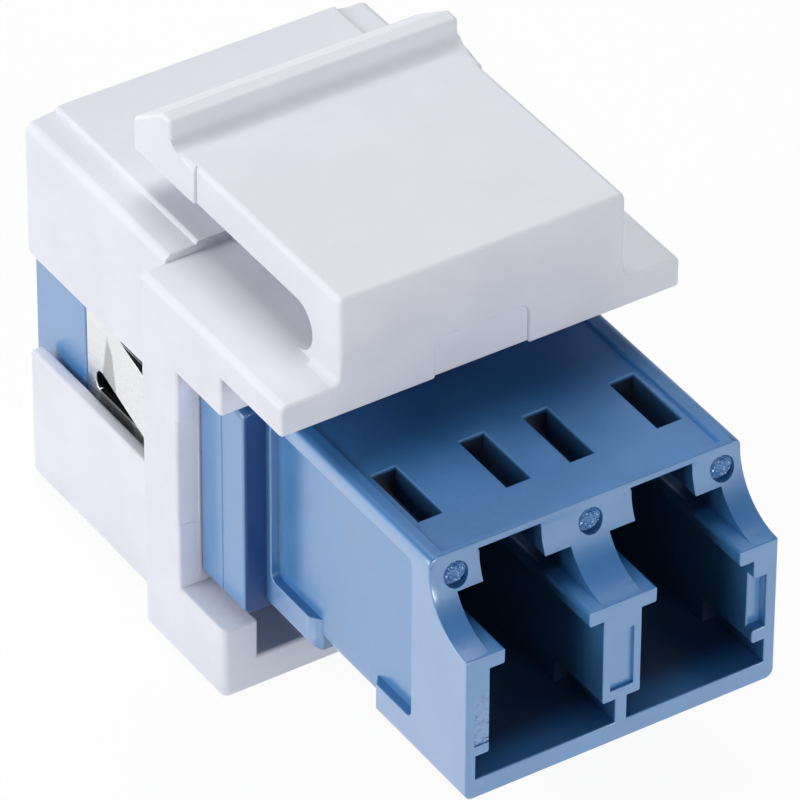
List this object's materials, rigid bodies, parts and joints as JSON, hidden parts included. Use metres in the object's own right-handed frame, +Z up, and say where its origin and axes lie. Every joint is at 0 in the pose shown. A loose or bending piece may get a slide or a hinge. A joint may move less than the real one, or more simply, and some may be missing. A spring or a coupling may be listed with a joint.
{
  "type": "keystone fibre optic adapter",
  "caption": "Snap-in keystone holder with a sprung latch, carrying a duplex fibre adapter whose ports open on both sides of the panel.",
  "frame": {"origin": "midway between the two fibre axes, in the plane of the collar's shoulder that meets the back of the panel", "axes": "+Y out through the panel along the fibre axes, +Z up towards the latch, +X across the two ports"},
  "size_m": [0.0164, 0.0287, 0.0203],
  "materials": {
    "white_plastic": "satin moulded",
    "blue_plastic": "satin moulded",
    "spring_steel": "rolled strip",
    "ceramic": "polished zirconia"
  },
  "bodies": {
    "module": {"keystone_holder": "white_plastic", "front_housing": "blue_plastic", "rear_housing": "blue_plastic", "mounting_clip": "spring_steel", "split_sleeve_left": "ceramic", "split_sleeve_right": "ceramic"},
    "latch": {"keystone_latch": "white_plastic"}
  },
  "joints": [
    {"name": "latch_flex", "type": "hinge", "parent": "module", "child": "latch", "pos_m": [0, -0.00653, 0.01092], "axis": [-1, 0, 0], "range_deg": [0, 8], "stiffness_Nm_per_rad": 0.5}
  ]
}
